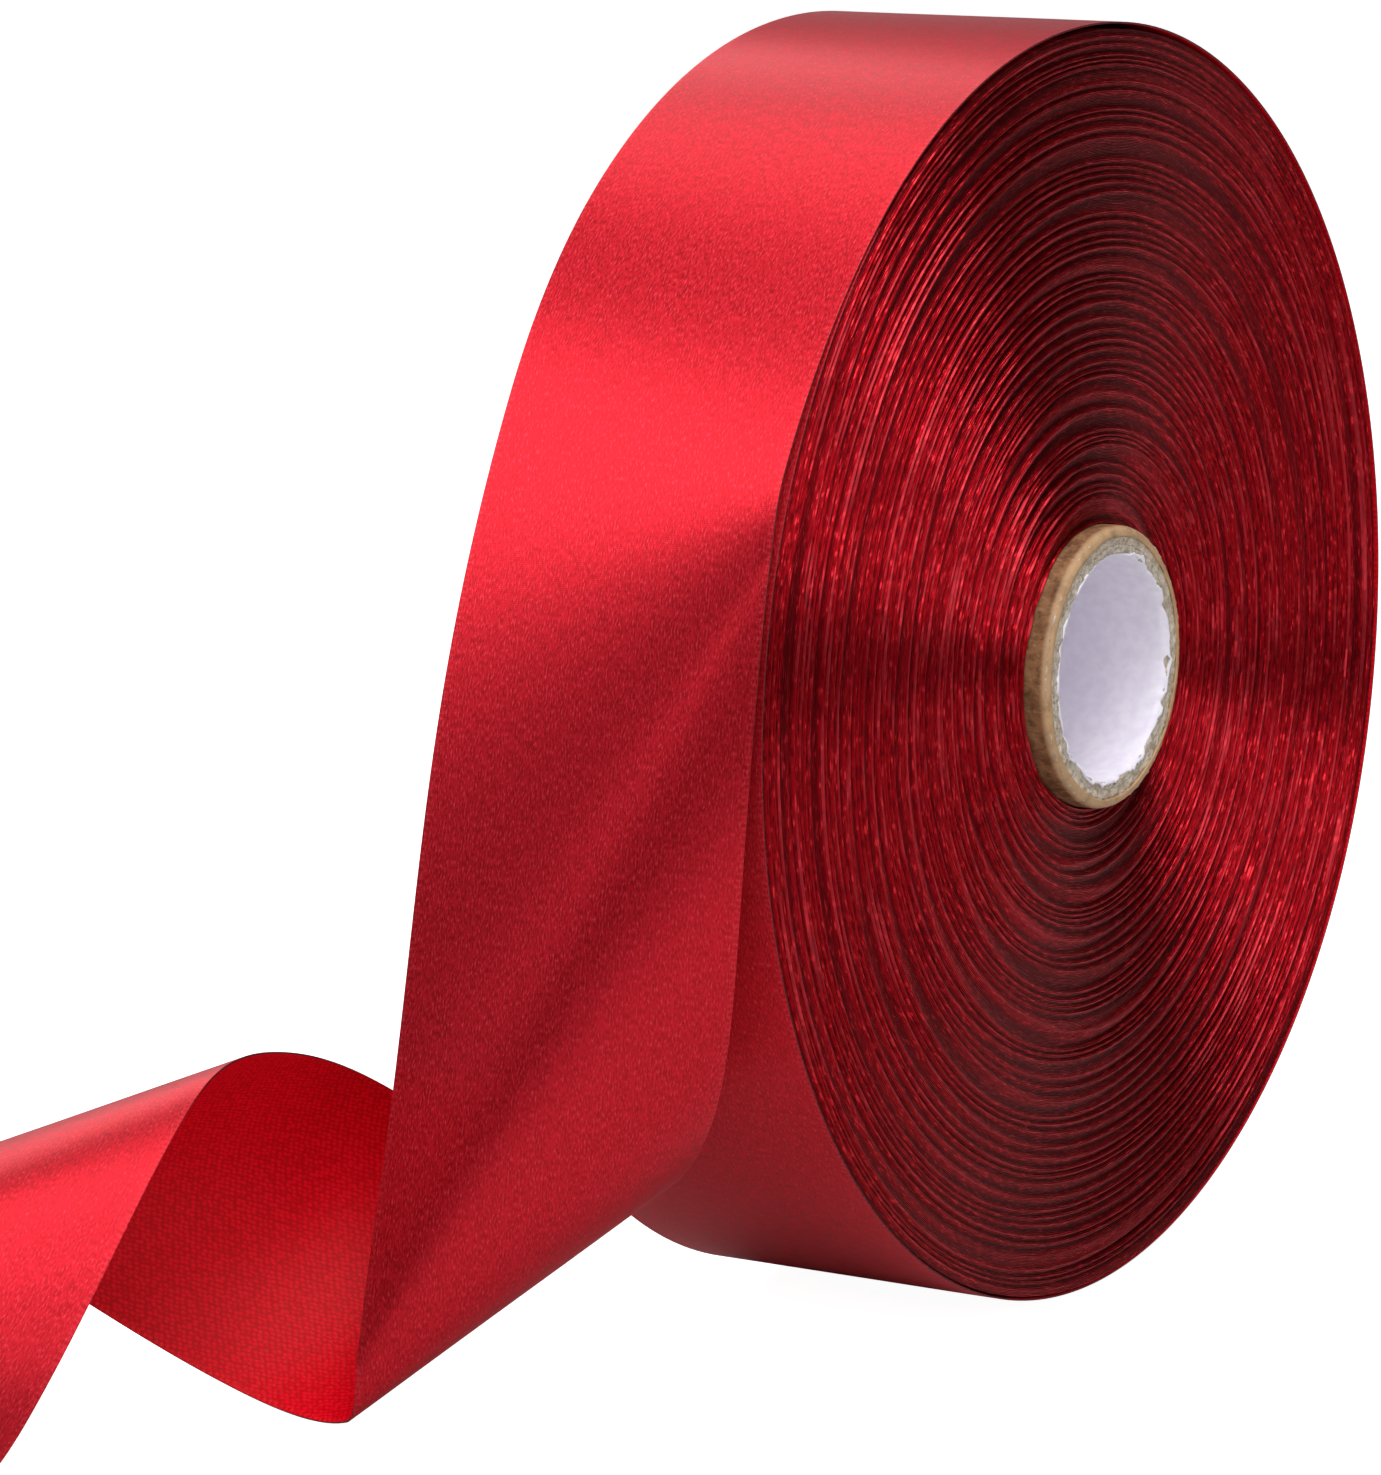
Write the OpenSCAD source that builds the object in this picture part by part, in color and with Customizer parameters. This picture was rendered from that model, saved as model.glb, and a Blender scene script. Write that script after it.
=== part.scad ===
// A flangeless roll of satin ribbon on a cardboard tube, standing on its rim, with its loose end
// curled beside it. The origin is the centre of the bore, the roll's axis runs along Y, and the
// loose end leaves the roll on the -X side.

/* [Ribbon] */
// Width of the ribbon
ribbon_w = 38; // [34:1:42]
// Thickness of the ribbon's loose turn and loose end
ribbon_t = 0.25; // [0.2:0.05:0.4]
// Diameter over the outermost turn
roll_d = 148.5; // [148:0.5:150]
// Gap between the wound pack and the loose turn round it
turn_gap = 0.6; // [0.4:0.1:1]

/* [Core] */
// Diameter of the bore
bore_d = 26; // [25.5:0.5:27]
// Length of the tube, which stands proud of the ribbon at both ends
core_len = 43.5; // [42:0.5:48]
// Thickness of the white paper liner
liner_t = 0.3; // [0.2:0.1:0.4]
// Thickness of one board ply
ply_t = 0.95; // [0.8:0.05:1.1]
// Thickness of the kraft skin
wrap_t = 0.3; // [0.2:0.1:0.4]
// Radius of the rolled edge at each end of the tube
edge_r = 1; // [0.8:0.1:1.2]

/* [Tape] */
// Thickness of the tape that holds the ribbon's inner end
tape_t = 0.1; // [0.1:0.05:0.2]
// Width of the tape
tape_w = 34; // [20:1:36]
// Length of the tape round the tube, in degrees
tape_turn = 40; // [20:5:60]

/* [Winding] */
// Number of ridges on each side of the wound pack, where bunches of turns stand proud
ridges = 14; // [8:1:18]
// Height of a ridge
ridge_h = 0.4; // [0.2:0.1:0.6]

/* [Hidden] */
$fn = 128;

bore_r = bore_d / 2;
ply_inner_r = bore_r + liner_t;
ply_middle_r = ply_inner_r + ply_t;
ply_outer_r = ply_middle_r + ply_t;
wrap_inner_r = ply_outer_r + ply_t;
core_r = wrap_inner_r + wrap_t;
tape_r = core_r + tape_t;
turn_outer_r = roll_d / 2;
turn_inner_r = turn_outer_r - ribbon_t;
winding_r = turn_inner_r - turn_gap;

// The loose end leaves the roll this many degrees above the axis's level, on the -X side
peel_angle = 50;
// The loose turn goes round the roll as far as the place that the loose end hides
turn_sweep = 320;

// The loose end's shape, as [distance along it in mm, bend in 1/m, lean of the bend's line].
// A bend of 1000/R curls the ribbon on a radius of R mm, satin outside. A lean of 0 bends it
// square across its width, and a lean of -1 bends it along a line at 45 degrees.
tail_stations = [
    [0, 13.5, 0], [30, 10, 0.2], [55, 10, -0.8], [75, -8, -1.65], [90, 12, -2.3], [105, 11, -1.7],
    [120, 43, -1.05], [135, 77, -0.4], [150, 35, -0.4], [170, 38, -0.8], [200, 14, -0.8],
    [230, 26, -1.3], [255, 43, -0.4], [285, 62, -0.8], [320, 75, -0.7], [350, 85, -0.6]
];
tail_len = 350;
tail_step = 2.5;
steps = tail_len / tail_step;

function tail_bend(s) = lookup(s, [for (p = tail_stations) [p[0], p[1] / 1000]]);
function tail_lean(s) = lookup(s, [for (p = tail_stations) [p[0], p[2]]]);

// v turned by a degrees about the unit vector k
function turned(v, k, a) = v * cos(a) + cross(k, v) * sin(a) + k * (k * v) * (1 - cos(a));

// One step along the loose end, from a frame [place, along, outward, across] to the next
function advance(f, s) =
    let (
        bend = tail_bend(s),
        spin = bend * (tail_lean(s) * f[1] + f[3]),
        rate = norm(spin),
        axis = spin / max(rate, 1e-9),
        a = rate * tail_step * 180 / PI,
        along = turned(f[1], axis, a)
    )
    [
        f[0] + (f[1] + along) * tail_step / 2,
        along,
        turned(f[2], axis, a),
        turned(f[3], axis, a)
    ];

peel_frame = [
    (turn_outer_r - ribbon_t / 2) * [-cos(peel_angle), 0, sin(peel_angle)],
    [-sin(peel_angle), 0, -cos(peel_angle)],
    [-cos(peel_angle), 0, sin(peel_angle)],
    [0, -1, 0]
];
tail_frames = [
    for (i = 0, f = peel_frame; i <= steps; f = advance(f, (i + 0.5) * tail_step), i = i + 1) f
];

// The four corners of the ribbon where a frame's bend line crosses it
function tail_ring(i) =
    let (
        f = tail_frames[i],
        half = ribbon_w / 2 * (f[3] + tail_lean(i * tail_step) * f[1]),
        out = ribbon_t / 2 * f[2]
    )
    [f[0] - half - out, f[0] + half - out, f[0] + half + out, f[0] - half + out];

// A turned piece about the Y axis: its outline has the radius along x and the width along y
module about_axis(angle = 360, from = 0) {
    rotate([90, 0, 0]) rotate([0, 0, from]) rotate_extrude(angle = angle) children();
}

module tube(r_in, r_out, len) {
    about_axis() translate([r_in, -len / 2]) square([r_out - r_in, len]);
}

// Half the outline of a solid plug with rounded ends, for the rolled edges of the tube
module plug_outline(r, len, corner) {
    square([r, len - 2 * corner]);
    translate([0, -corner]) square([r - corner, len]);
    translate([r - corner, 0]) circle(corner);
    translate([r - corner, len - 2 * corner]) circle(corner);
}

module core_liner() {
    color("white") tube(bore_r, ply_inner_r, core_len);
}

module board_ply_inner() {
    color([0.55, 0.49, 0.42]) tube(ply_inner_r, ply_middle_r, core_len);
}

module board_ply_middle() {
    color([0.58, 0.52, 0.44]) tube(ply_middle_r, ply_outer_r, core_len);
}

// The outermost ply is shorter, because the kraft skin is rolled over its ends
module board_ply_outer() {
    inner_corner = edge_r - wrap_t;
    len = core_len - 2 * wrap_t;
    color([0.52, 0.46, 0.38]) about_axis() intersection() {
        translate([0, -len / 2 + inner_corner]) plug_outline(wrap_inner_r, len, inner_corner);
        translate([ply_outer_r, -len / 2]) square([ply_t, len]);
    }
}

module core_wrap() {
    inner_corner = edge_r - wrap_t;
    inner_len = core_len - 2 * wrap_t;
    color([0.72, 0.55, 0.36]) about_axis() intersection() {
        difference() {
            translate([0, -core_len / 2 + edge_r]) plug_outline(core_r, core_len, edge_r);
            translate([0, -inner_len / 2 + inner_corner])
                plug_outline(wrap_inner_r, inner_len, inner_corner);
        }
        translate([ply_outer_r, -core_len / 2]) square([core_r - ply_outer_r, core_len]);
    }
}

module start_tape() {
    color([0.85, 0.85, 0.8]) about_axis(tape_turn)
        translate([core_r, -tape_w / 2]) square([tape_t, tape_w]);
}

// The wound pack, with the ridges and grooves that the turns leave on its sides
module ribbon_winding() {
    pitch = (winding_r - tape_r) / (2 * ridges);
    side = [
        for (i = [0:2 * ridges])
            [tape_r + i * pitch, ribbon_w / 2 - (i % 2 == 1 ? ridge_h : 0)]
    ];
    color([0.6, 0.03, 0.08]) about_axis()
        polygon(concat(side, [for (i = [2 * ridges:-1:0]) [side[i][0], -side[i][1]]]));
}

module ribbon_outer_turn() {
    color([0.78, 0.07, 0.14]) about_axis(turn_sweep, 180 - peel_angle - turn_sweep)
        translate([turn_inner_r, -ribbon_w / 2]) square([ribbon_t, ribbon_w]);
}

module ribbon_tail() {
    points = [for (i = [0:steps]) each tail_ring(i)];
    sides = [
        for (i = [0:steps - 1], k = [0:3])
            let (a = 4 * i + k, b = 4 * i + (k + 1) % 4) [b, a, a + 4, b + 4]
    ];
    color([0.75, 0.06, 0.13])
        polyhedron(points, concat(sides, [[0, 1, 2, 3], [for (k = [3:-1:0]) 4 * steps + k]]));
}

core_liner();
board_ply_inner();
board_ply_middle();
board_ply_outer();
core_wrap();
start_tape();
ribbon_winding();
ribbon_outer_turn();
ribbon_tail();
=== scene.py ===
"""A flangeless roll of red satin ribbon on a cardboard tube, with its loose end curled beside it.

Everything is in metres. The roll's axis runs along Y, the origin is the centre of the bore, and the
loose end leaves the roll on the -X side.
"""

from math import atan2, cos, hypot, pi, radians, sin, tau

import bmesh
import bpy
from mathutils import Matrix, Vector, noise


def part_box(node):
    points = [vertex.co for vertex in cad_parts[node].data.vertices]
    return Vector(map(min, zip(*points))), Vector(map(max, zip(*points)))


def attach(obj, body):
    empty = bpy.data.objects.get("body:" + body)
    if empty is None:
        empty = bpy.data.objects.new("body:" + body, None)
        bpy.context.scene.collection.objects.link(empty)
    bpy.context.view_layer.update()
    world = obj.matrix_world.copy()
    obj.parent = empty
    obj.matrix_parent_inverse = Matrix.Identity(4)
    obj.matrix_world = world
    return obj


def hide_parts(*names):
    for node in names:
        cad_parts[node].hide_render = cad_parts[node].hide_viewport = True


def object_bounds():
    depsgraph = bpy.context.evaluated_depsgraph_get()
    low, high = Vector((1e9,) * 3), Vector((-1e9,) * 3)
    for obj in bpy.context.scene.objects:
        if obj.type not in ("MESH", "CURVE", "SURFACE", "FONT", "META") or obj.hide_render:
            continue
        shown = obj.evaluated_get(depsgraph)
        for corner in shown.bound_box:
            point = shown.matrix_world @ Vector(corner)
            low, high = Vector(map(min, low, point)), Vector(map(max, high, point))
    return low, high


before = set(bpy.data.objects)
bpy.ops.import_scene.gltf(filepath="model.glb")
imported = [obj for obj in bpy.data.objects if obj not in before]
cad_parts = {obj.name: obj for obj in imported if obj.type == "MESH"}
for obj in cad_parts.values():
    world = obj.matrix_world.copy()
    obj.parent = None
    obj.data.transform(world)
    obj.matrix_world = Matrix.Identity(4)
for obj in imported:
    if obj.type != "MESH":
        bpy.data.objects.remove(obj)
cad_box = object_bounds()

MM = 0.001

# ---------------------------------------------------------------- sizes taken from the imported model

core_low, core_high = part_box("core_wrap")
liner_low, liner_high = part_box("core_liner")
tape_low, tape_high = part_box("start_tape")
pack_low, pack_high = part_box("ribbon_winding")
turn_low, turn_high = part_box("ribbon_outer_turn")

CORE_END = core_high.y
CORE_R = core_high.x
LINER_R = liner_high.x
BORE_R = LINER_R - 0.3 * MM
PLY_T = 0.95 * MM
WRAP_T = 0.3 * MM
EDGE_R = 1 * MM
TAPE_R = CORE_R + 0.1 * MM
PACK_R = pack_high.x
ROLL_R = turn_high.x
RIBBON_W = turn_high.y - turn_low.y
RIBBON_T = 0.2 * MM
TURN_R = ROLL_R - 0.125 * MM

# ---------------------------------------------------------------- shader nodes


def new(tree, kind, inputs=(), **settings):
    """A node with its settings made, and each input linked to a socket or set to a value."""
    made = tree.nodes.new(kind)
    for name, value in settings.items():
        setattr(made, name, value)
    for name, value in dict(inputs).items():
        if isinstance(value, bpy.types.NodeSocket):
            tree.links.new(value, made.inputs[name])
        else:
            made.inputs[name].default_value = value
    return made


def calc(tree, operation, a, b=0.0):
    """The result of one Math node."""
    return new(tree, "ShaderNodeMath", {0: a, 1: b}, operation=operation).outputs[0]


def ramp(tree, value, low, high, start=0.0, end=1.0):
    """value's place between low and high, as a smooth step from start to end."""
    sockets = {"Value": value, "From Min": low, "From Max": high, "To Min": start, "To Max": end}
    return new(tree, "ShaderNodeMapRange", sockets, interpolation_type="SMOOTHSTEP").outputs[0]


def scaled(tree, vector, x, y, z=1.0):
    """vector with each of its parts multiplied."""
    sockets = {"Vector": vector, "Scale": (x, y, z)}
    return new(tree, "ShaderNodeMapping", sockets).outputs[0]


def mottle(tree, vector, scale=1.0, detail=2.0, roughness=0.5):
    """Smooth noise from 0 to 1."""
    sockets = {"Vector": vector, "Scale": scale, "Detail": detail, "Roughness": roughness}
    return new(tree, "ShaderNodeTexNoise", sockets).outputs[0]


def blend(tree, factor, a, b):
    """Colour a turning into colour b."""
    return new(tree, "ShaderNodeMix", {0: factor, 6: a, 7: b}, data_type="RGBA").outputs[2]


def bump(tree, height, distance, strength=1.0):
    sockets = {"Height": height, "Distance": distance, "Strength": strength}
    return new(tree, "ShaderNodeBump", sockets).outputs[0]


def along_across(tree):
    """The ribbon's own coordinates in metres: along it from the peel, and across it from its middle."""
    return new(tree, "ShaderNodeUVMap", uv_map="along_across").outputs[0]


def lay_along(tree, shader):
    """Turns the stretched gloss to the ribbon's own direction."""
    tangent = new(tree, "ShaderNodeTangent", direction_type="UV_MAP").outputs[0]
    tree.links.new(tangent, shader.inputs["Tangent"])


def surface(name, **constants):
    """A new material, with its Principled shader's constant values set."""
    material = bpy.data.materials.new(name)
    material.use_nodes = True
    tree = material.node_tree
    shader = tree.nodes["Principled BSDF"]
    for key, value in constants.items():
        shader.inputs[key.replace("_", " ")].default_value = value
    return material, tree, shader


def join(tree, shader, **sockets):
    for key, value in sockets.items():
        tree.links.new(value, shader.inputs[key.replace("_", " ")])


def group(name, inputs, outputs):
    """An empty shader group with float or vector inputs and float outputs."""
    tree = bpy.data.node_groups.new(name, "ShaderNodeTree")
    for key, kind in inputs.items():
        tree.interface.new_socket(key, in_out="INPUT", socket_type=kind)
    for key in outputs:
        tree.interface.new_socket(key, in_out="OUTPUT", socket_type="NodeSocketFloat")
    return tree, new(tree, "NodeGroupInput"), new(tree, "NodeGroupOutput")


def make_floats_group():
    """The long threads of the satin face: a height, painted glints on the highest floats, and the beat of
    the picks.
    """
    tree, source, result = group(
        "satin_floats",
        {"Place": "NodeSocketVector", "Thread": "NodeSocketFloat", "Float": "NodeSocketFloat"},
        ["Height", "PaintedGlint", "Pick"],
    )
    place = source.outputs["Place"]
    parts = new(tree, "ShaderNodeSeparateXYZ", {0: place})
    run = calc(tree, "DIVIDE", parts.outputs[0], source.outputs["Float"])
    side = calc(tree, "DIVIDE", parts.outputs[1], source.outputs["Thread"])
    cell = new(tree, "ShaderNodeCombineXYZ", {0: run, 1: side}).outputs[0]
    threads = mottle(tree, cell, 1.0, 1.0)
    coarse = mottle(tree, scaled(tree, cell, 0.35, 0.22), 1.0, 2.0)
    height = calc(tree, "ADD", threads, calc(tree, "MULTIPLY", coarse, 0.3))
    picks = calc(tree, "SINE", calc(tree, "MULTIPLY", parts.outputs[0], tau / (0.23 * MM)))
    tree.links.new(height, result.inputs["Height"])
    # Pale where the floats are highest: painted glints.
    tree.links.new(ramp(tree, threads, 0.55, 0.78), result.inputs["PaintedGlint"])
    tree.links.new(calc(tree, "ADD", calc(tree, "MULTIPLY", picks, 0.5), 0.5), result.inputs["Pick"])
    return tree


def make_selvedge_group():
    """The woven edge: 1 near the selvedges, and its row of stitches."""
    tree, source, result = group("selvedge_stitches", {"Place": "NodeSocketVector"}, ["Edge", "Stitch"])
    parts = new(tree, "ShaderNodeSeparateXYZ", {0: source.outputs["Place"]})
    from_middle = calc(tree, "ABSOLUTE", parts.outputs[1])
    edge = ramp(tree, from_middle, RIBBON_W / 2 - 0.8 * MM, RIBBON_W / 2 - 0.5 * MM)
    loose = mottle(tree, scaled(tree, source.outputs["Place"], 500, 900), 1.0, 2.0)
    beat = calc(tree, "MULTIPLY", parts.outputs[0], tau / (0.7 * MM))
    beat = calc(tree, "SINE", calc(tree, "ADD", beat, calc(tree, "MULTIPLY", loose, 5.0)))
    stitch = calc(tree, "MULTIPLY", edge, ramp(tree, beat, -0.2, 0.9))
    tree.links.new(edge, result.inputs["Edge"])
    tree.links.new(stitch, result.inputs["Stitch"])
    return tree


FLOATS = make_floats_group()
SELVEDGE = make_selvedge_group()


def satin_floats(tree, place, thread, length):
    made = new(tree, "ShaderNodeGroup", (), node_tree=FLOATS)
    tree.links.new(place, made.inputs["Place"])
    made.inputs["Thread"].default_value = thread
    made.inputs["Float"].default_value = length
    return made.outputs


def selvedge_stitches(tree, place):
    made = new(tree, "ShaderNodeGroup", (), node_tree=SELVEDGE)
    tree.links.new(place, made.inputs["Place"])
    return made.outputs


# ---------------------------------------------------------------- finishes


def satin_face():
    """The glossy side: long floats lie along the ribbon, so its gloss spreads across it."""
    material, tree, shader = surface(
        "satin_face", Metallic=0.8, Anisotropic=0.9, Anisotropic_Rotation=0.25, Specular_IOR_Level=0.6
    )
    place = along_across(tree)
    woven = satin_floats(tree, place, 0.2 * MM, 0.62 * MM)
    edge = selvedge_stitches(tree, place)
    cloudy = mottle(tree, place, 700.0, 3.0, 0.6)
    base = blend(tree, ramp(tree, cloudy, 0.35, 0.65), (0.62, 0.010, 0.022, 1), (0.70, 0.012, 0.028, 1))
    # Darker where the floats are low: painted shade between the threads.
    base = blend(tree, ramp(tree, woven["Height"], 0.66, 0.50, 0, 0.5), base, (0.34, 0.004, 0.008, 1))
    # Pale pink on the highest floats: painted glints.
    base = blend(tree, calc(tree, "MULTIPLY", woven["PaintedGlint"], 0.5), base, (0.98, 0.09, 0.14, 1))
    # The row of stitches is the weave's own; its paler colour is a painted highlight on the loops.
    base = blend(tree, calc(tree, "MULTIPLY", edge["Stitch"], 0.2), base, (0.90, 0.08, 0.10, 1))
    gloss = ramp(tree, woven["Height"], 0.45, 0.85, 0.40, 0.50)
    height = calc(tree, "ADD", woven["Height"], calc(tree, "MULTIPLY", woven["Pick"], 0.12))
    height = calc(tree, "ADD", height, calc(tree, "MULTIPLY", edge["Stitch"], 0.25))
    join(tree, shader, Base_Color=base, Roughness=gloss, Normal=bump(tree, height, 0.03 * MM, 0.6))
    lay_along(tree, shader)
    return material


def satin_reverse():
    """The dull side: the picks show as small slanting cells."""
    material, tree, shader = surface("satin_reverse", Specular_IOR_Level=0.12)
    place = along_across(tree)
    edge = selvedge_stitches(tree, place)
    slanted = new(
        tree, "ShaderNodeMapping", {"Vector": place, "Rotation": (0, 0, radians(24)), "Scale": (1, 1.5, 1)}
    ).outputs[0]
    cells = new(
        tree, "ShaderNodeTexVoronoi", {"Vector": slanted, "Scale": 1 / (0.7 * MM), "Randomness": 0.4}
    ).outputs[0]
    streaks = mottle(tree, scaled(tree, place, 900, 5200), 1.0, 2.0)
    # The slanting cells are the weave's own; their darker rims, where the bump sinks, are painted shade.
    base = blend(tree, ramp(tree, cells, 0.25, 0.6), (0.84, 0.003, 0.016, 1), (0.60, 0.001, 0.008, 1))
    base = blend(tree, ramp(tree, streaks, 0.55, 0.8, 0, 0.4), base, (0.95, 0.014, 0.034, 1))
    # The row of stitches is the weave's own; its paler colour is a painted highlight on the loops.
    base = blend(tree, calc(tree, "MULTIPLY", edge["Stitch"], 0.3), base, (0.9, 0.03, 0.04, 1))
    height = calc(tree, "SUBTRACT", streaks, calc(tree, "MULTIPLY", cells, 1.5))
    rough = ramp(tree, streaks, 0.3, 0.7, 0.36, 0.52)
    join(tree, shader, Base_Color=base, Roughness=rough, Normal=bump(tree, height, 0.04 * MM, 0.7))
    return material


def cut_edge():
    """The ribbon's thin edge, where the picks turn back, coloured a dark red that is painted shade."""
    material, tree, shader = surface("selvedge_edge", Metallic=0.2)
    place = along_across(tree)
    loops = mottle(tree, scaled(tree, place, 3200, 900), 1.0, 1.0)
    # Dark red on the edge, varied at random by the loops: painted shade.
    base = blend(tree, ramp(tree, loops, 0.35, 0.7), (0.04, 0.001, 0.004, 1), (0.22, 0.006, 0.012, 1))
    join(tree, shader, Base_Color=base, Roughness=ramp(tree, loops, 0.3, 0.7, 0.6, 0.4))
    return material


def wound_edges():
    """The side of the wound pack: turn upon turn of selvedge, with painted shade in the hollows and painted
    glints and a painted highlight on the crests.
    """
    material, tree, shader = surface(
        "wound_selvedges", Metallic=0.85, Anisotropic=0.85, Anisotropic_Rotation=0.25, Specular_IOR_Level=0.2
    )
    place = along_across(tree)
    crest = new(tree, "ShaderNodeAttribute", (), attribute_name="crest").outputs["Fac"]
    ticks = mottle(tree, scaled(tree, place, 1 / (1.5 * MM), 1 / (0.24 * MM)), 1.0, 1.0, 0.5)
    drift = mottle(tree, scaled(tree, place, 1 / (14 * MM), 1 / (0.5 * MM)), 1.0, 2.0, 0.6)
    # Darker away from the crests: painted shade in the hollows between bunches of turns.
    base = blend(tree, ramp(tree, crest, 0.0, 0.75), (0.14, 0.0008, 0.0035, 1), (0.38, 0.003, 0.009, 1))
    base = blend(tree, ramp(tree, drift, 0.4, 0.75, 0, 0.35), base, (0.46, 0.004, 0.012, 1))
    # Dark where the ticks sink in the bump: painted shade in the dips.
    base = blend(tree, ramp(tree, ticks, 0.46, 0.36, 0, 0.6), base, (0.10, 0.0006, 0.003, 1))
    # Bright ticks near the crests: painted glints.
    shown = calc(tree, "MULTIPLY", ramp(tree, ticks, 0.57, 0.72), ramp(tree, crest, 0.0, 0.8, 0.35, 0.8))
    base = blend(tree, shown, base, (0.92, 0.035, 0.05, 1))
    # A pale line along the top of each crest: a painted highlight.
    base = blend(tree, ramp(tree, crest, 0.86, 0.98, 0, 0.45), base, (0.66, 0.055, 0.075, 1))
    gloss = ramp(tree, ticks, 0.4, 0.7, 0.45, 0.36)
    join(tree, shader, Base_Color=base, Roughness=gloss, Normal=bump(tree, ticks, 0.07 * MM, 0.7))
    lay_along(tree, shader)
    return material


def object_place(tree):
    return new(tree, "ShaderNodeTexCoord").outputs["Object"]


def kraft_paper():
    """The tube's skin: brown paper gone patchy, with a pale painted highlight where it rolls over the end.
    """
    material, tree, shader = surface("kraft_paper", Specular_IOR_Level=0.35)
    place = object_place(tree)
    fibres = mottle(tree, scaled(tree, place, 1500, 900, 1500), 1.0, 4.0, 0.7)
    stains = mottle(tree, place, 420.0, 4.0, 0.65)
    far_along = calc(tree, "ABSOLUTE", new(tree, "ShaderNodeSeparateXYZ", {0: place}).outputs[1])
    # Paler towards both rolled ends, patchy with the stains: a painted highlight along the rolled edge.
    near_rolled_end = ramp(tree, far_along, CORE_END - 1.1 * MM, CORE_END - 0.2 * MM)
    base = blend(tree, ramp(tree, stains, 0.3, 0.7), (0.15, 0.060, 0.024, 1), (0.34, 0.17, 0.075, 1))
    base = blend(tree, ramp(tree, fibres, 0.52, 0.68, 0, 0.75), base, (0.09, 0.04, 0.02, 1))
    base = blend(tree, ramp(tree, fibres, 0.46, 0.34, 0, 0.5), base, (0.46, 0.30, 0.18, 1))
    painted_end_highlight = calc(tree, "MULTIPLY", near_rolled_end, ramp(tree, stains, 0.25, 0.6, 0.5, 0.95))
    base = blend(tree, painted_end_highlight, base, (0.58, 0.36, 0.19, 1))
    gloss = ramp(tree, fibres, 0.3, 0.7, 0.48, 0.66)
    join(tree, shader, Base_Color=base, Roughness=gloss, Normal=bump(tree, fibres, 0.08 * MM, 0.6))
    return material


def board_fibre(name, dark, light):
    """The cut end of a grey board ply: matted fibres with pale shreds."""
    material, tree, shader = surface(name, Specular_IOR_Level=0.25)
    place = object_place(tree)
    grain = mottle(tree, place, 2400.0, 5.0, 0.7)
    clumps = mottle(tree, place, 900.0, 3.0, 0.6)
    base = blend(tree, ramp(tree, clumps, 0.3, 0.7), dark, light)
    base = blend(tree, ramp(tree, grain, 0.52, 0.7, 0, 0.8), base, (0.88, 0.82, 0.72, 1))
    base = blend(tree, ramp(tree, grain, 0.46, 0.3, 0, 0.8), base, (0.14, 0.10, 0.07, 1))
    height = calc(tree, "ADD", grain, clumps)
    join(tree, shader, Base_Color=base, Roughness=ramp(tree, grain, 0.3, 0.7, 0.95, 0.8),
         Normal=bump(tree, height, 0.2 * MM, 0.8))
    return material


def white_paper():
    """The liner: smooth white paper with a trace of pulp and a torn, pale edge."""
    material, tree, shader = surface("white_paper", Specular_IOR_Level=0.3)
    place = object_place(tree)
    pulp = mottle(tree, place, 700.0, 4.0, 0.6)
    base = blend(tree, ramp(tree, pulp, 0.3, 0.7), (0.88, 0.83, 0.94, 1), (0.95, 0.91, 0.99, 1))
    join(tree, shader, Base_Color=base, Roughness=ramp(tree, pulp, 0.3, 0.7, 0.6, 0.72),
         Normal=bump(tree, pulp, 0.04 * MM, 0.4))
    return material


def tissue_tape():
    material, tree, shader = surface("tissue_tape", Specular_IOR_Level=0.5)
    place = object_place(tree)
    fibres = mottle(tree, place, 1500.0, 4.0, 0.7)
    base = blend(tree, fibres, (0.62, 0.60, 0.52, 1), (0.82, 0.80, 0.72, 1))
    join(tree, shader, Base_Color=base, Roughness=ramp(tree, fibres, 0.3, 0.7, 0.35, 0.55))
    return material


def studio_floor():
    """Pale paper, lifted to white for the camera alone, so that it doesn't light the roll from below."""
    material, tree, shader = surface("studio_floor", Roughness=0.9, Specular_IOR_Level=0.1)
    shader.inputs["Base Color"].default_value = (0.55, 0.55, 0.55, 1)
    shader.inputs["Emission Color"].default_value = (1, 1, 1, 1)
    seen = new(tree, "ShaderNodeLightPath").outputs["Is Camera Ray"]
    join(tree, shader, Emission_Strength=calc(tree, "MULTIPLY", seen, 0.96))
    return material


SATIN = satin_face()
REVERSE = satin_reverse()
EDGE = cut_edge()
WOUND = wound_edges()

# ---------------------------------------------------------------- meshes


def piece(name, bm, body, materials, replaced=()):
    """A finished piece: smooth, riding its body, in place of the plain solids that it stands for."""
    mesh = bpy.data.meshes.new(name)
    for face in bm.faces:
        face.smooth = True
    bm.to_mesh(mesh)
    bm.free()
    for material in materials:
        mesh.materials.append(material)
    made = bpy.data.objects.new(name, mesh)
    bpy.context.scene.collection.objects.link(made)
    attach(made, body)
    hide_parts(*replaced)
    return made


# The loose end's shape: distance along it in mm, bend in 1/m, lean of the bend's line
STATIONS = [
    (0, 13.5, 0), (30, 10, 0.2), (55, 10, -0.8), (75, -8, -1.65), (90, 12, -2.3), (105, 11, -1.7),
    (120, 43, -1.05), (135, 77, -0.4), (150, 35, -0.4), (170, 38, -0.8), (200, 14, -0.8),
    (230, 26, -1.3), (255, 43, -0.4), (285, 62, -0.8), (320, 75, -0.7), (350, 85, -0.6),
]
TAIL_LEN = STATIONS[-1][0] * MM
TAIL_STEP = 0.625 * MM
PEEL = radians(130)
LOOSE_TURN = radians(358)
TURN_STEPS = 320


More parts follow.
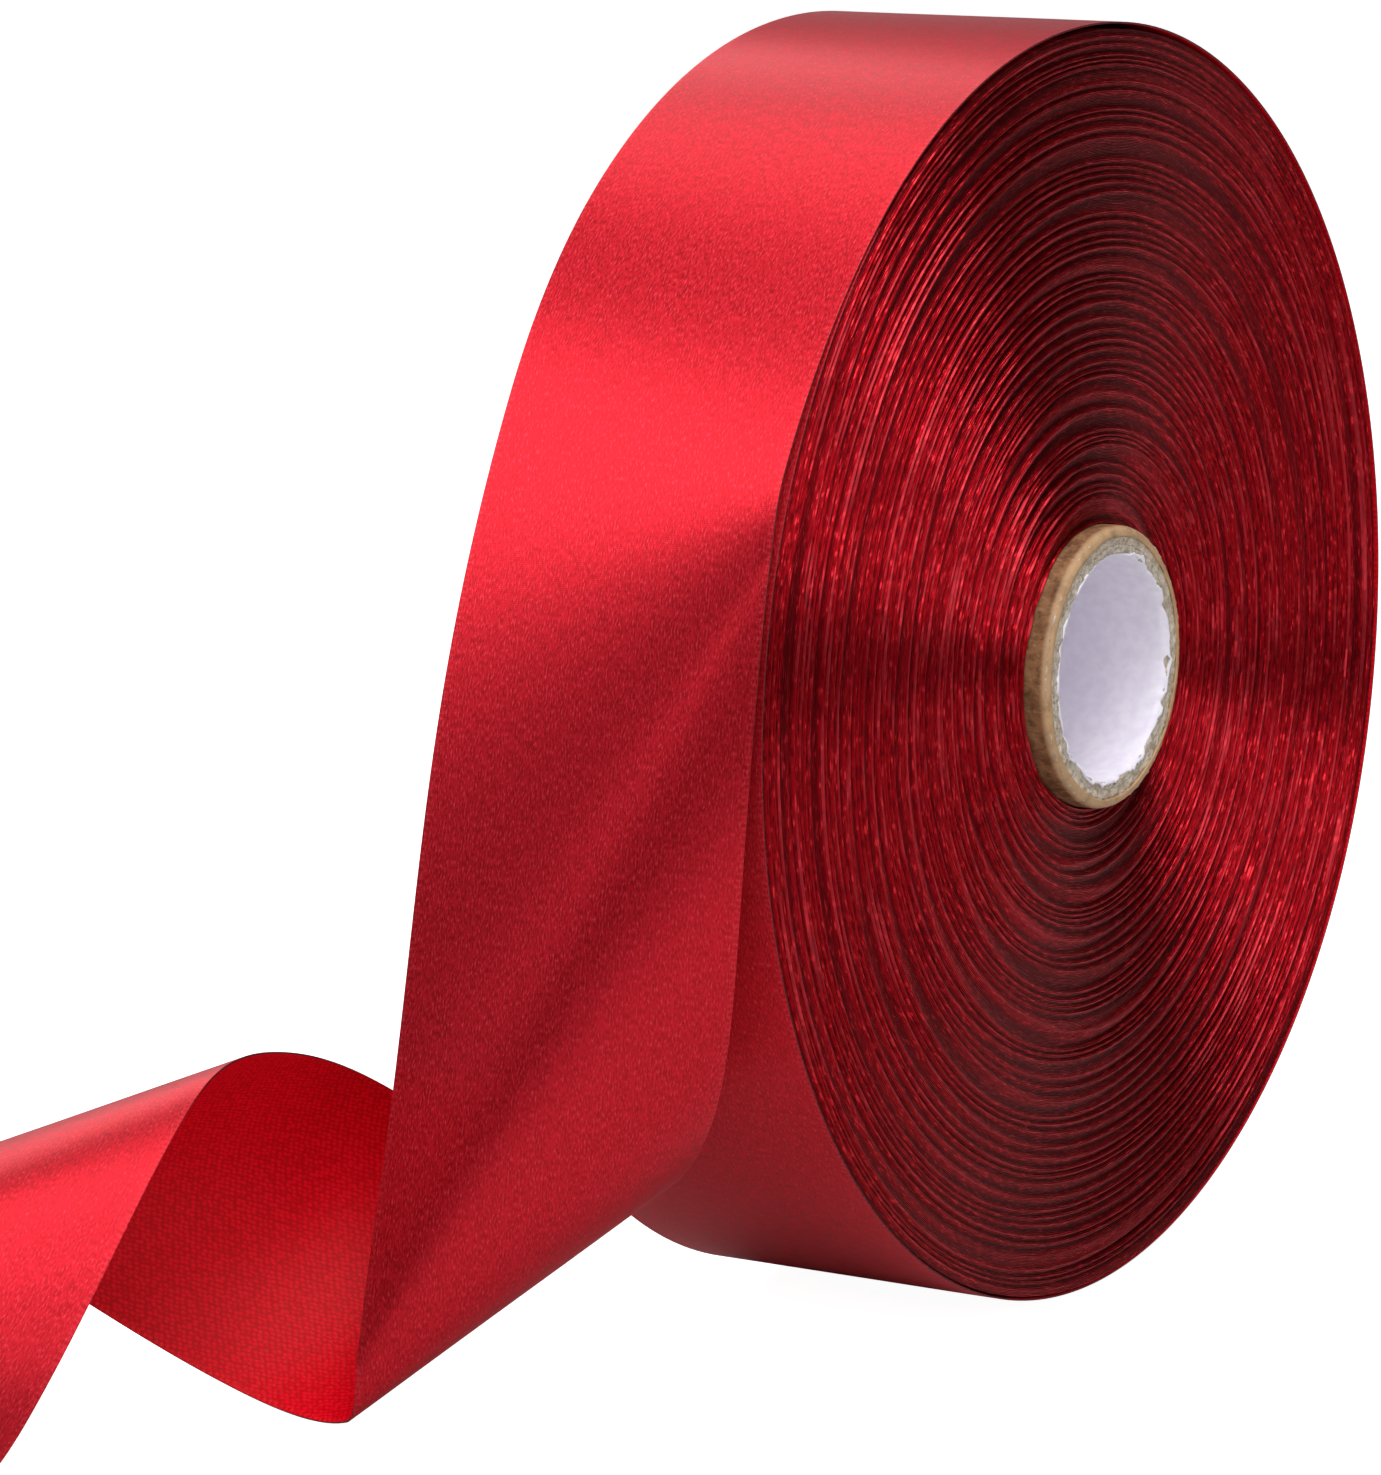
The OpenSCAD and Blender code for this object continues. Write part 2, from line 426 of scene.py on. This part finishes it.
def between_stations(distance):
    """The bend and the lean at a distance along the loose end."""
    for (s0, bend0, lean0), (s1, bend1, lean1) in zip(STATIONS, STATIONS[1:]):
        if distance <= s1 * MM:
            break
    f = (distance / MM - s0) / (s1 - s0)
    return bend0 + (bend1 - bend0) * f, lean0 + (lean1 - lean0) * f


def loose_turn_rows():
    """The turn round the roll, from under the loose end to where it peels off."""
    rows = []
    for i in range(TURN_STEPS):
        share = i / TURN_STEPS
        angle = PEEL - LOOSE_TURN * (1 - share)
        radius = TURN_R - 0.5 * MM * (1 - share)
        out = Vector((cos(angle), 0, sin(angle)))
        along = Vector((-sin(angle), 0, cos(angle)))
        rows.append((-LOOSE_TURN * TURN_R * (1 - share), radius * out, along, out, Vector((0, -1, 0)), 0.0))
    return rows


def loose_end_rows():
    """The loose end, rolled out from the peel line by its bend and the lean of its bend lines."""
    out = Vector((cos(PEEL), 0, sin(PEEL)))
    place, along, across = TURN_R * out, Vector((-sin(PEEL), 0, cos(PEEL))), Vector((0, -1, 0))
    rows = [(0.0, place, along, out, across, 0.0)]
    for i in range(round(TAIL_LEN / TAIL_STEP)):
        bend, lean = between_stations((i + 0.5) * TAIL_STEP)
        spin = bend * (lean * along + across)
        turn = Matrix.Rotation(spin.length * TAIL_STEP, 3, spin) if bend else Matrix.Identity(3)
        next_along = turn @ along
        place = place + (along + next_along) * TAIL_STEP / 2
        along, out, across = next_along, turn @ out, turn @ across
        distance = (i + 1) * TAIL_STEP
        rows.append((distance, place, along, out, across, between_stations(distance)[1]))
    return rows


def loose_ribbon():
    """One thin woven strip: the loose turn and the loose end, satin side out."""
    rows = loose_turn_rows() + loose_end_rows()
    inner = RIBBON_W / 2 - 1.2 * MM
    edge = [inner + step * MM for step in (0.5, 0.9, 1.1, 1.2)]
    columns = [-t for t in edge[::-1]] + [inner * i / 6 for i in range(-6, 7)] + edge
    bm = bmesh.new()
    bmesh.ops.create_grid(bm, x_segments=len(rows) - 1, y_segments=len(columns) - 1, size=0.5)
    uv = bm.loops.layers.uv.new("along_across")
    for vert in bm.verts:
        row = round((vert.co.x + 0.5) * (len(rows) - 1))
        t = columns[round((vert.co.y + 0.5) * (len(columns) - 1))]
        distance, place, along, out, across, lean = rows[row]
        spot = Vector((distance + t * lean, t))
        ripple = 0.03 * MM * noise.noise(Vector((spot.x * 45, spot.y * 60, 0.5)))
        for loop in vert.link_loops:
            loop[uv].uv = spot
        vert.co = place + t * (across + lean * along) + ripple * out
    made = piece(
        "ribbon_loose_end", bm, "ribbon_end", [SATIN, REVERSE, EDGE],
        ["ribbon_outer_turn", "ribbon_tail"],
    )
    wall = made.modifiers.new("thickness", "SOLIDIFY")
    wall.thickness = RIBBON_T
    wall.offset = 0
    wall.material_offset = 1
    wall.material_offset_rim = 2
    return made


TURNS = 320
BANDS = 5
BAND_STEPS = 120
PITCH = (PACK_R - 0.1 * MM - TAPE_R) / TURNS
STRIP_T = 0.16 * MM


def wound_radius(turn):
    return TAPE_R + PITCH * (turn + 0.5)


def wound_length(turn):
    return tau * (TAPE_R * turn + PITCH * (turn * turn + turn) / 2)


def stands_proud(turn):
    """How far the ribbon has wandered sideways at a turn, and how near that is to a crest."""
    angle = tau * turn
    x, z = cos(angle), sin(angle)
    wide = noise.noise(Vector((0.7 * x, 0.7 * z, 0.05 * turn)))
    phase = turn / 7.2 + 1.5 * noise.noise(Vector((0.55 * x, 0.55 * z + 7, 0.075 * turn)))
    size = 0.8 + 0.6 * noise.noise(Vector((0.8 * x + 3, 0.8 * z, 0.14 * turn)))
    crest = (1 - abs(2 * (phase % 1) - 1)) ** 1.4
    own = noise.noise(Vector((1.2 * x, 1.2 * z, 1.9 * turn + 11)))
    return (0.30 * wide + 0.62 * size * (crest - 0.4) + 0.03 * own) * MM, crest * (0.8 + 0.25 * size)


def wound_band(index):
    """One stretch of the wound ribbon: a true spiral strip, closed at both ends."""
    first = index * TURNS // BANDS
    count = TURNS // BANDS
    half_w, half_t, round_off = RIBBON_W / 2, STRIP_T / 2, 0.04 * MM
    section = [
        (-half_t, -half_w + round_off), (0, -half_w), (half_t, -half_w + round_off),
        (half_t, half_w - round_off), (0, half_w), (-half_t, half_w - round_off),
    ]
    bm = bmesh.new()
    turn_layer = bm.verts.layers.float.new("turn")
    depth_layer = bm.verts.layers.float.new("depth")
    crest_layer = bm.verts.layers.float.new("crest")
    for k in range(first, first + count):
        ring = []
        for depth, side in section:
            vert = bm.verts.new((wound_radius(k) + depth, side, 0))
            vert[turn_layer] = k
            vert[depth_layer] = depth
            ring.append(vert)
        for a, b in zip(ring, ring[1:] + ring[:1]):
            bm.edges.new((a, b))
    spun = bmesh.ops.spin(
        bm, geom=bm.verts[:] + bm.edges[:], cent=(0, 0, 0), axis=(0, -1, 0), angle=tau, steps=BAND_STEPS
    )
    last = {v for v in spun["geom_last"] if isinstance(v, bmesh.types.BMVert)}
    seam = []
    for vert in bm.verts:
        step = round(atan2(vert.co.z, vert.co.x) / tau * BAND_STEPS) % BAND_STEPS
        if vert in last:
            step = BAND_STEPS
        if step in (0, BAND_STEPS):
            seam.append(vert)
        turn = vert[turn_layer] + step / BAND_STEPS
        radius = wound_radius(turn) + vert[depth_layer]
        angle = tau * turn
        # The crest value also sets the painted shade in the hollows and the painted glints and highlight on
        # the crests of the wound_selvedges finish.
        proud, vert[crest_layer] = stands_proud(turn)
        vert.co = (radius * cos(angle), vert.co.y - proud, radius * sin(angle))
        vert[turn_layer] = turn
    bmesh.ops.remove_doubles(bm, verts=seam, dist=0.001 * MM)
    bmesh.ops.holes_fill(bm, edges=[e for e in bm.edges if e.is_boundary], sides=0)
    bmesh.ops.recalc_face_normals(bm, faces=bm.faces)
    uv = bm.loops.layers.uv.new("along_across")
    for vert in bm.verts:
        spot = (wound_length(vert[turn_layer]), wound_radius(vert[turn_layer]) + vert[depth_layer])
        for loop in vert.link_loops:
            loop[uv].uv = spot
    name = f"wound_ribbon_{index + 1}"
    made = piece(name, bm, "roll", [WOUND], ["ribbon_winding"])
    return made


# ---------------------------------------------------------------- the tube


def turned_shell(profile, steps=240):
    """A closed ring shape about the roll's axis, from its outline of (radius, place along the axis)."""
    bm = bmesh.new()
    verts = [bm.verts.new((radius, y, 0)) for radius, y in profile]
    edges = [bm.edges.new(pair) for pair in zip(verts, verts[1:] + verts[:1])]
    bmesh.ops.spin(
        bm, geom=verts + edges, cent=(0, 0, 0), axis=(0, -1, 0), angle=tau, steps=steps, use_merge=True
    )
    bmesh.ops.recalc_face_normals(bm, faces=bm.faces)
    return bm


def line(start, end, count):
    """Points from start up to, but not at, end."""
    return [(start[0] + (end[0] - start[0]) * i / count, start[1] + (end[1] - start[1]) * i / count)
            for i in range(count)]


def tube_outline(inner, outer, half, across=6, along=24):
    """The outline of a tube's wall, with points along its length and across its ends."""
    return (
        line((inner, -half), (outer, -half), across) + line((outer, -half), (outer, half), along)
        + line((outer, half), (inner, half), across) + line((inner, half), (inner, -half), along)
    )


def roughen(bm, height, scale, seed, reach=0.6 * MM):
    """Pulls the ends of a tube's wall in and out, and leaves its length as it is."""
    for vert in bm.verts:
        end = CORE_END - abs(vert.co.y)
        if end < reach:
            share = 1 - end / reach
            rough = noise.noise(vert.co * scale + Vector((seed, 0, 0)))
            side = 1 if vert.co.y > 0 else -1
            vert.co.y += side * height * share * (rough - 0.6)


def board_ply(name, inner, light, dark):
    bm = turned_shell(tube_outline(inner, inner + PLY_T, CORE_END - 0.12 * MM), 300)
    roughen(bm, 0.28 * MM, 1600, inner * 1000)
    fibre = name + "_fibre"
    return piece(fibre, bm, "roll", [board_fibre(fibre, dark, light)], [name])


def liner():
    """White paper pasted in the bore, with its end torn and pressed out against the board."""
    half = CORE_END - 0.05 * MM
    bm = turned_shell(tube_outline(BORE_R, LINER_R, half, 2, 40), 360)
    for vert in bm.verts:
        end = half - abs(vert.co.y)
        if end < 1.2 * MM:
            angle = atan2(vert.co.z, vert.co.x)
            around = Vector((cos(angle), sin(angle), 0)) * 2.2
            tear = noise.fractal(around * 1.6 + Vector((0, 0, 4)), 0.7, 2.6, 5) - 0.15
            side = 1 if vert.co.y > 0 else -1
            share = 1 - end / (1.2 * MM)
            vert.co.y -= side * share * max(0.0, 0.35 + tear) * 0.55 * MM
            flare = share * share * max(0.0, -0.1 - tear) * 0.9 * MM
            vert.co.x += cos(angle) * flare
            vert.co.z += sin(angle) * flare
    return piece("core_liner_paper", bm, "roll", [white_paper()], ["core_liner"])


def rolled_edge(radius, end, corner, side, count=8):
    """Points round the corner at one end of the tube, from its side to its end face."""
    points = []
    for i in range(count + 1):
        angle = pi / 2 * i / count
        points.append((radius - corner + corner * cos(angle), side * (end - corner + corner * sin(angle))))
    return points


def kraft_skin():
    """Kraft paper wound round the board and rolled over both of its ends."""
    lip = CORE_R - 1.2 * MM
    outside = rolled_edge(CORE_R, CORE_END, EDGE_R, 1) + [(lip, CORE_END)]
    under = rolled_edge(CORE_R - WRAP_T, CORE_END - WRAP_T, EDGE_R - WRAP_T, 1) + [(lip, CORE_END - WRAP_T)]
    profile = (
        [(x, -y) for x, y in outside[::-1]]
        + line((CORE_R, -CORE_END + EDGE_R + 0.5 * MM), (CORE_R, CORE_END - EDGE_R), 20)
        + outside
        + under[::-1]
        + line((CORE_R - WRAP_T, CORE_END - EDGE_R - 0.5 * MM), (CORE_R - WRAP_T, -CORE_END + EDGE_R), 20)
        + [(x, -y) for x, y in under]
    )
    bm = turned_shell(profile, 240)
    for vert in bm.verts:
        angle = atan2(vert.co.z, vert.co.x)
        end = CORE_END - abs(vert.co.y)
        dent = 0.07 * MM * noise.noise(vert.co * 220)
        lap = hypot(vert.co.x, vert.co.z) < CORE_R - 0.9 * MM
        if lap and end < 1 * MM:
            dent += 0.35 * MM * noise.noise(Vector((3 * cos(angle), 3 * sin(angle), 2)))
        vert.co.x += dent * cos(angle)
        vert.co.z += dent * sin(angle)
    return piece("core_kraft_skin", bm, "roll", [kraft_paper()], ["core_wrap"])


# ---------------------------------------------------------------- the studio

SKY_LIGHT = 0.04
SKY_SEEN = 0.9
LIGHT_DISTANCE = 1.2
LIGHT_SIZE = (0.6, 0.5)
FLOOR_SIZE = 8
FLOOR_GAP = 0.05 * MM


def studio():
    low = cad_box[0].z - FLOOR_GAP
    bm = bmesh.new()
    bmesh.ops.create_grid(bm, x_segments=8, y_segments=8, size=FLOOR_SIZE)
    bmesh.ops.translate(bm, verts=bm.verts, vec=(0, 0, low))
    mesh = bpy.data.meshes.new("floor")
    bm.to_mesh(mesh)
    bm.free()
    mesh.materials.append(studio_floor())
    floor = bpy.data.objects.new("floor", mesh)
    bpy.context.scene.collection.objects.link(floor)
    world = bpy.data.worlds.new("studio")
    bpy.context.scene.world = world
    world.use_nodes = True
    background = world.node_tree.nodes["Background"]
    background.inputs["Color"].default_value = (0.95, 0.97, 1, 1)
    seen = new(world.node_tree, "ShaderNodeLightPath").outputs["Is Camera Ray"]
    bright = calc(world.node_tree, "ADD", calc(world.node_tree, "MULTIPLY", seen, SKY_SEEN), SKY_LIGHT)
    world.node_tree.links.new(bright, background.inputs["Strength"])
    softbox("overhead", 10, 83, 6.4)
    softbox("high_left", -48, 61, 5.0)
    softbox("low_left", -60, 27, 2.9)
    softbox("side_left", -100, 42, 2.6)
    softbox("rear_left", -140, 36, 4.0)
    softbox("rear_left_low", -138, 17, 0.5)
    softbox("rear_right", 145, 35, 2.9)
    softbox("low_right", 128, 14, 0.8)
    softbox("high_right", 100, 55, 1.4)
    softbox("front", -15, 24, 2.2)


def softbox(name, azimuth, elevation, watts):
    """A rectangular light that faces the middle of the roll, placed by its bearing from the seen side."""
    data = bpy.data.lights.new(name, "AREA")
    data.shape = "RECTANGLE"
    data.size, data.size_y = LIGHT_SIZE
    data.energy = watts
    made = bpy.data.objects.new(name, data)
    bearing, height = radians(azimuth), radians(elevation)
    towards = Vector((sin(bearing) * cos(height), -cos(bearing) * cos(height), sin(height)))
    made.location = towards * LIGHT_DISTANCE
    made.rotation_mode = "QUATERNION"
    made.rotation_quaternion = (-towards).to_track_quat("-Z", "Y")
    made.visible_camera = False
    bpy.context.scene.collection.objects.link(made)


def camera():
    """A long lens, low on the loose end's side, with the frame set a little right of the axis."""
    azimuth, elevation = radians(-57.96), radians(9.79)
    back = Vector((sin(azimuth) * cos(elevation), -cos(azimuth) * cos(elevation), sin(elevation)))
    right = Vector((cos(azimuth), sin(azimuth), 0))
    up = back.cross(right)
    data = bpy.data.cameras.new("camera")
    data.lens = 162.04
    data.sensor_width = 36
    data.clip_start, data.clip_end = 0.05, 50
    made = bpy.data.objects.new("camera", data)
    place = back * 0.77812 - right * 30.634 * MM - up * 10.025 * MM
    turned = Matrix((right, up, back)).transposed().to_4x4()
    made.matrix_world = Matrix.Translation(place) @ turned
    bpy.context.scene.collection.objects.link(made)
    bpy.context.scene.camera = made


camera()
studio()
bpy.context.scene.view_settings.view_transform = "Standard"

for band in range(BANDS):
    wound_band(band)
loose_ribbon()
liner()
ply_r = LINER_R
for ply, light, dark in (
    ("board_ply_inner", (0.66, 0.58, 0.48, 1), (0.42, 0.34, 0.26, 1)),
    ("board_ply_middle", (0.72, 0.62, 0.50, 1), (0.46, 0.37, 0.28, 1)),
    ("board_ply_outer", (0.60, 0.50, 0.38, 1), (0.36, 0.28, 0.20, 1)),
):
    board_ply(ply, ply_r, light, dark)
    ply_r += PLY_T
kraft_skin()
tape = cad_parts["start_tape"]
tape.data.materials.clear()
tape.data.materials.append(tissue_tape())
